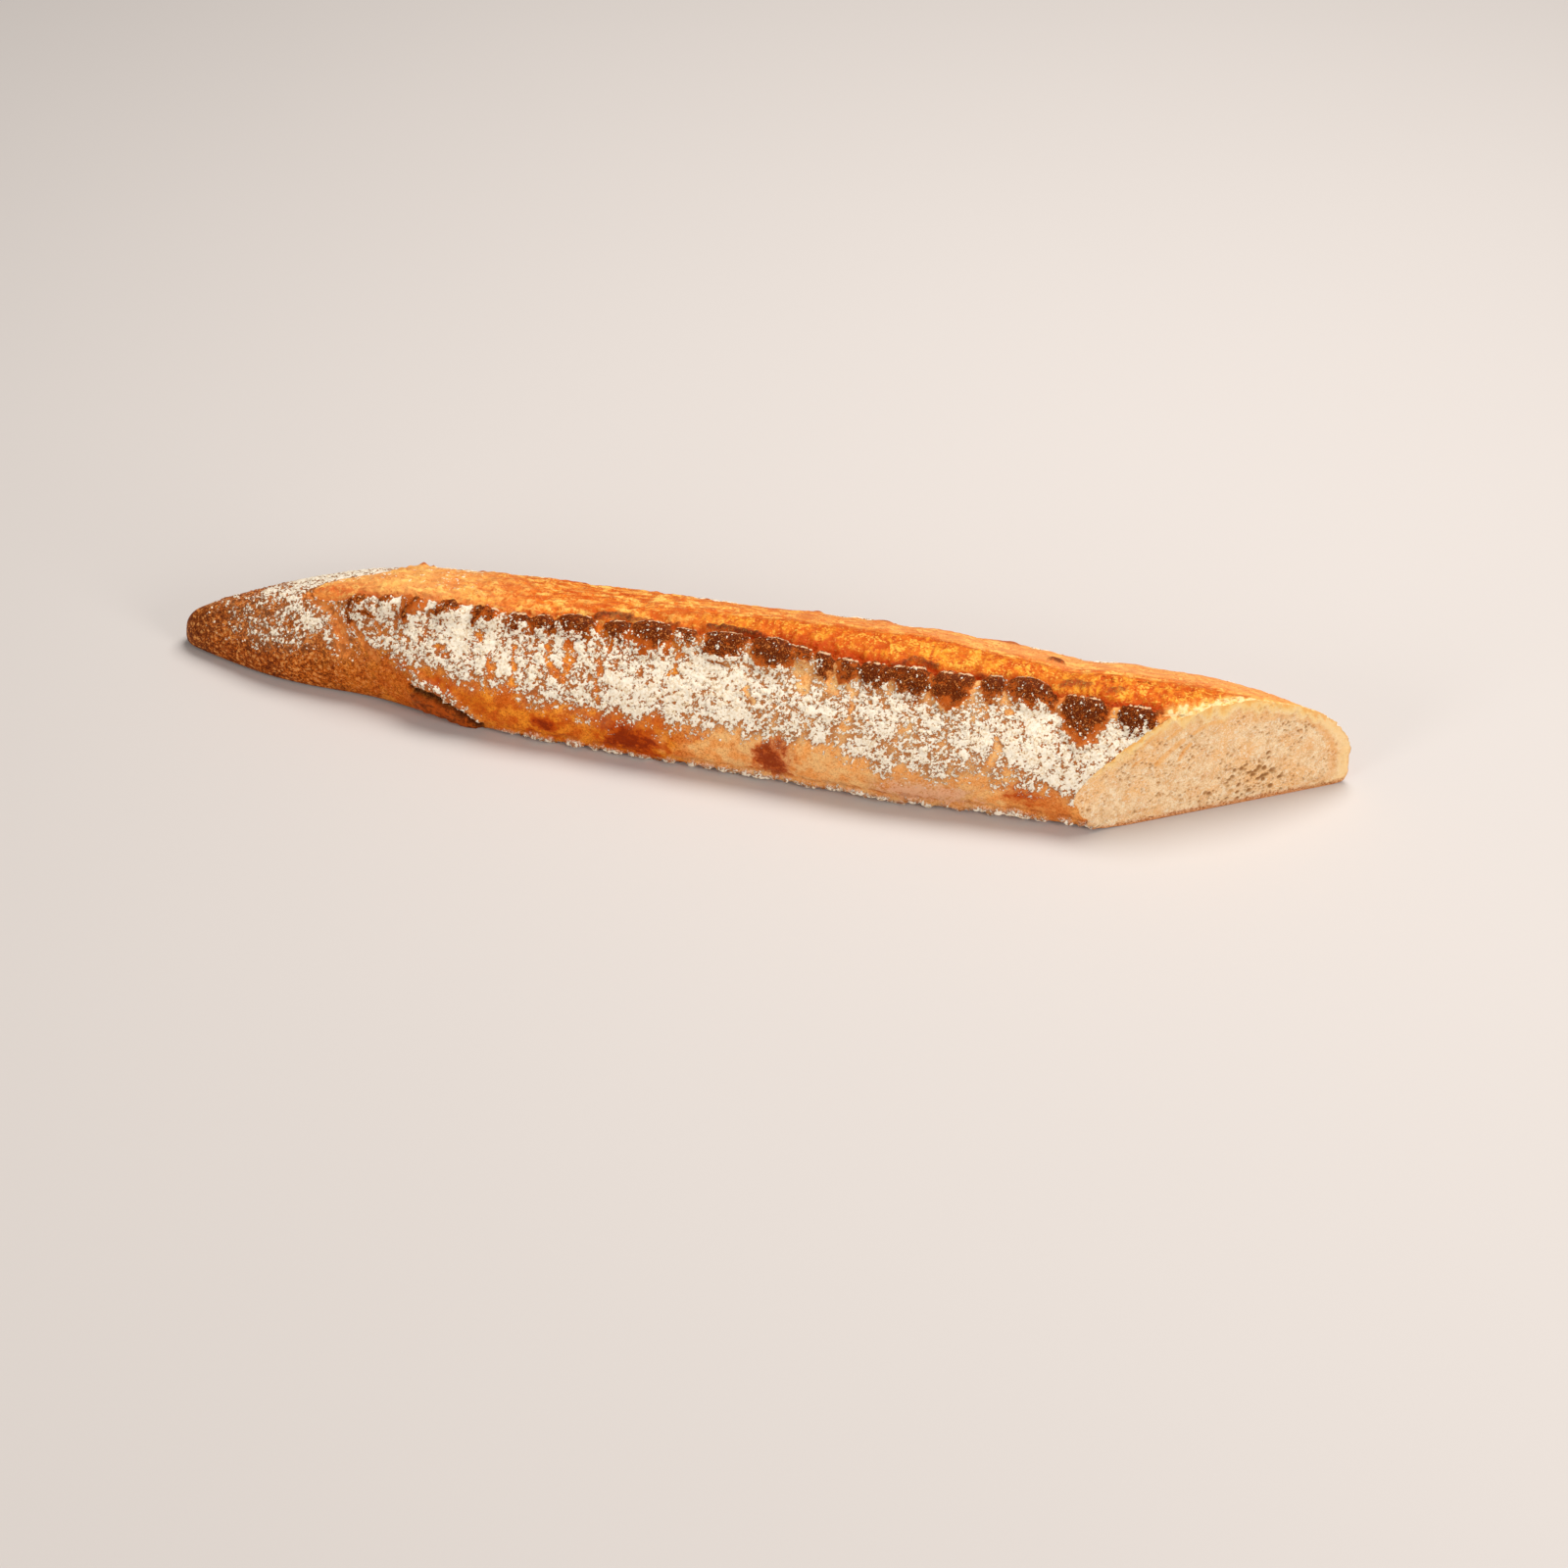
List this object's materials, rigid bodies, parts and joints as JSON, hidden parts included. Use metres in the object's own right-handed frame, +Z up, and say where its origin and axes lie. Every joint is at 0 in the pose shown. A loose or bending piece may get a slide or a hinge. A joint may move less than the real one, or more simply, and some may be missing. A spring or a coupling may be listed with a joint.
{
  "type": "baguette",
  "caption": "Floured long loaf with an opened score, a dark scalloped ear and a slanting cut end that shows its crumb, lying on its flat base.",
  "frame": {"origin": "centre of the loaf's footprint box, on the surface that it lies on", "axes": "+X along the loaf from its nose to its cut end, +Z up, -Y towards the floured side with the ear"},
  "size_m": [0.4268, 0.0754, 0.047],
  "materials": {
    "crust": "matt amber to dark brown baked crust, dusted with flour",
    "bloom": "satin golden orange inner crust, torn open along the score",
    "crumb": "soft matt cream crumb with fine uneven pores",
    "flour": "matt off-white flour, caked and cracked"
  },
  "bodies": {
    "root": {"loaf": "crust"}
  },
  "joints": []
}
